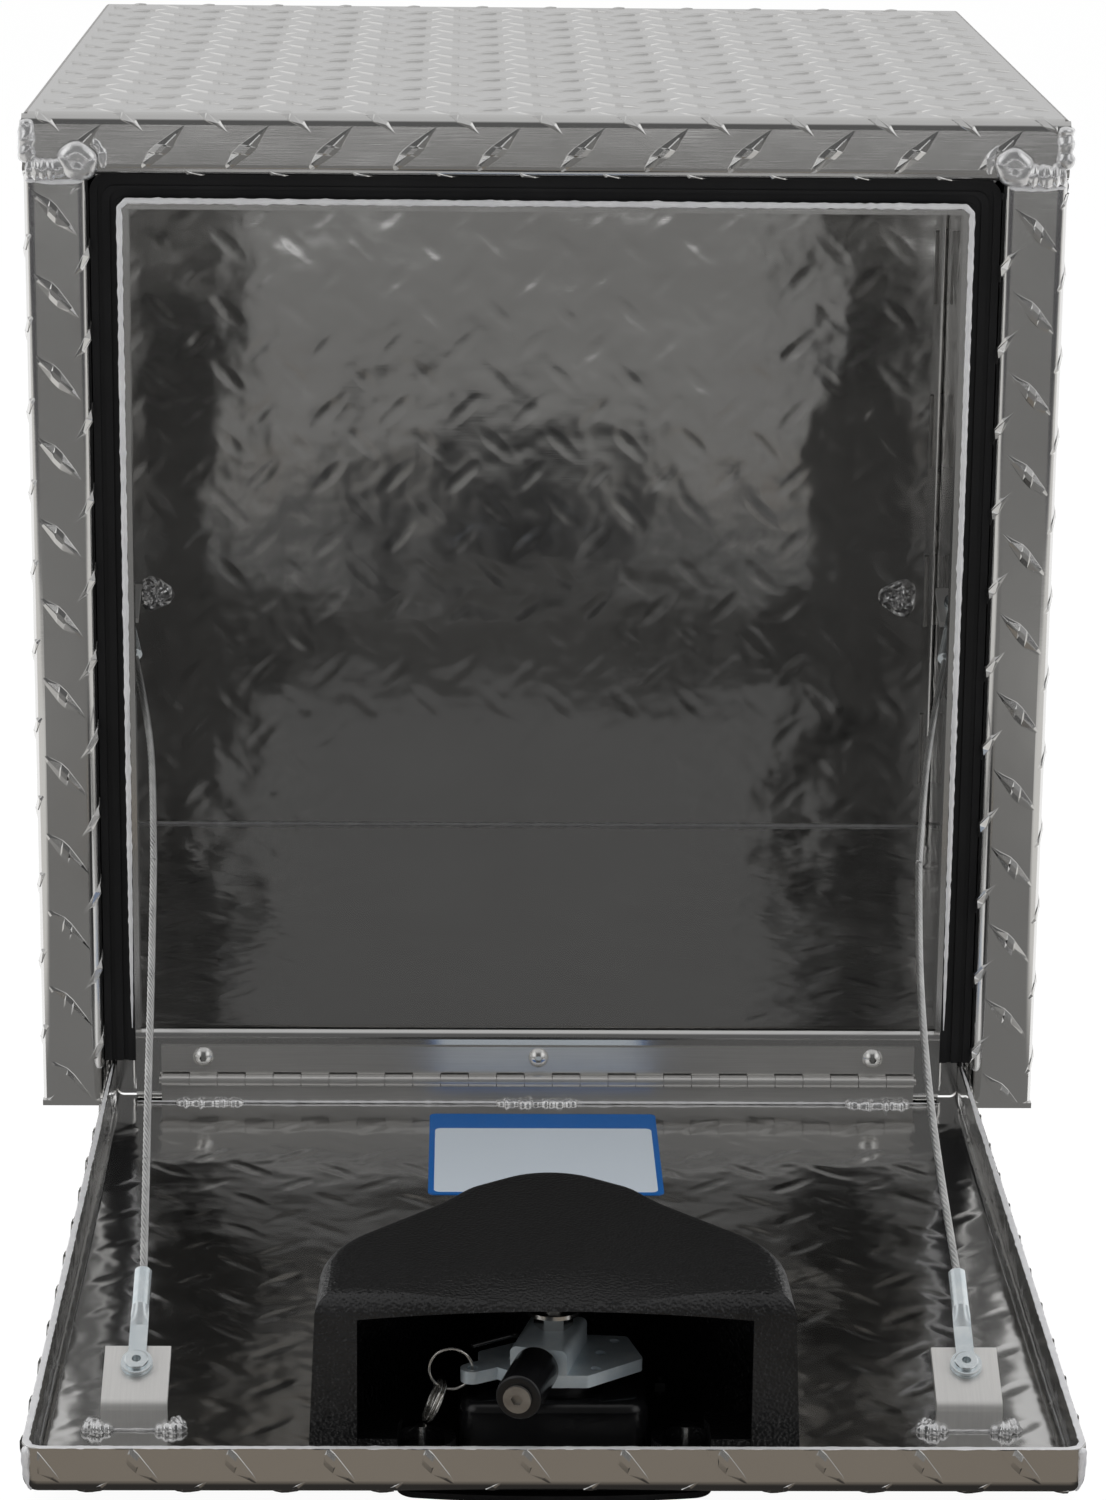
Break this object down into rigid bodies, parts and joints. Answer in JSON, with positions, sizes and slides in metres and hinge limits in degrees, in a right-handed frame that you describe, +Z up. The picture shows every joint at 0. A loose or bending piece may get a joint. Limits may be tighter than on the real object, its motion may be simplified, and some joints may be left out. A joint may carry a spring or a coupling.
{
  "type": "underbody_tool_box",
  "caption": "Underbody truck tool box of tread plate with a drop-down door on a piano hinge, two check cables and a T-handle roller latch",
  "frame": {"origin": "centre of the top mounting face", "axes": "+X to the right as seen from the door side, +Y to the back, away from the door, +Z up, out of the top mounting face"},
  "size_m": [0.4572, 0.87, 0.4653],
  "materials": {
    "tread_plate": "bright rolled tread plate",
    "weld_metal": "bright weld bead",
    "gasket_rubber": "ribbed sponge rubber",
    "hinge_steel": "brushed stainless",
    "fastener_steel": "bright stainless",
    "bracket_metal": "mill finish strip",
    "zinc_plate": "blue-bright zinc plate",
    "wire_steel": "stranded galvanised wire",
    "black_plastic": "grained moulding",
    "black_moulding": "semi-gloss black",
    "label_film": "blue and white film, bare"
  },
  "bodies": {
    "shell": {"left_side_panel": "tread_plate", "right_side_panel": "tread_plate", "top_panel": "tread_plate", "floor_panel": "tread_plate", "back_panel": "tread_plate", "corner_welds": "weld_metal", "top_seam_welds": "weld_metal", "back_stitch_welds": "weld_metal", "back_weld_nuggets": "weld_metal", "door_gasket": "gasket_rubber", "hinge_box_leaf": "hinge_steel", "hinge_pin": "hinge_steel", "hinge_screws": "fastener_steel", "hinge_nuts": "fastener_steel", "left_anchor_bracket": "bracket_metal", "right_anchor_bracket": "bracket_metal", "left_upper_terminal": "zinc_plate", "right_upper_terminal": "zinc_plate", "upper_cable_washers": "zinc_plate", "upper_cable_rivets": "zinc_plate"},
    "door": {"door_panel": "tread_plate", "hinge_door_leaf": "hinge_steel", "hinge_leaf_welds": "weld_metal", "blank_label": "label_film", "left_door_bracket": "bracket_metal", "right_door_bracket": "bracket_metal", "left_bracket_welds": "weld_metal", "right_bracket_welds": "weld_metal", "left_lower_terminal": "zinc_plate", "right_lower_terminal": "zinc_plate", "lower_cable_washers": "zinc_plate", "lower_cable_rivets": "zinc_plate", "left_lower_cable": "wire_steel", "right_lower_cable": "wire_steel", "latch_shroud": "black_plastic", "shroud_studs": "fastener_steel", "latch_dish": "black_moulding", "dish_gasket": "gasket_rubber", "dish_screws": "fastener_steel", "dish_nuts": "fastener_steel", "latch_boss": "black_moulding"},
    "left_cable_top": {"left_upper_cable": "wire_steel"},
    "right_cable_top": {"right_upper_cable": "wire_steel"},
    "latch": {"t_handle": "black_moulding", "latch_spindle": "zinc_plate", "spring_disc": "fastener_steel", "cam_plate": "zinc_plate", "cam_channel": "zinc_plate", "roller_pin": "fastener_steel", "top_washer": "fastener_steel", "top_nut": "fastener_steel", "key_tie": "black_moulding"},
    "roller": {"striker_roller": "black_moulding"},
    "lock": {"lock_plug": "zinc_plate"},
    "keys": {"key_ring": "wire_steel", "split_ring": "wire_steel"}
  },
  "joints": [
    {"name": "door_hinge", "type": "hinge", "parent": "shell", "child": "door", "pos_m": [0, -0.2239, -0.4462], "axis": [-1, 0, 0], "range_deg": [0, 90], "deforming": ["left_lower_cable", "right_lower_cable", "left_upper_cable", "right_upper_cable"]},
    {"name": "left_cable_fold", "type": "hinge", "parent": "shell", "child": "left_cable_top", "pos_m": [-0.1861, -0.1853, -0.25476], "axis": [1, 0, 0], "range_deg": [0, 107.3]},
    {"name": "right_cable_fold", "type": "hinge", "parent": "shell", "child": "right_cable_top", "pos_m": [0.1861, -0.1853, -0.25476], "axis": [1, 0, 0], "range_deg": [0, 107.3]},
    {"name": "latch_turn", "type": "hinge", "parent": "door", "child": "latch", "pos_m": [0, -0.5839, -0.4276], "axis": [0, 0, -1], "range_deg": [-14.5, 75.5]},
    {"name": "key_turn", "type": "hinge", "parent": "latch", "child": "lock", "pos_m": [0, -0.5839, -0.4516], "axis": [0, 0, 1], "range_deg": [0, 90]},
    {"name": "roller_spin", "type": "hinge", "parent": "latch", "child": "roller", "pos_m": [0, -0.5839, -0.4221], "axis": [-0.2504, -0.9681, 0], "continuous": true},
    {"name": "key_ring_swing", "type": "hinge", "parent": "latch", "child": "keys", "pos_m": [-0.031, -0.6019, -0.4281], "axis": [1, 0, 0], "range_deg": [-5, 20]}
  ],
  "couplings": [
    {"joint": "left_cable_fold", "follows": "door_hinge", "ratio": 1.1909},
    {"joint": "right_cable_fold", "follows": "door_hinge", "ratio": 1.1909}
  ]
}
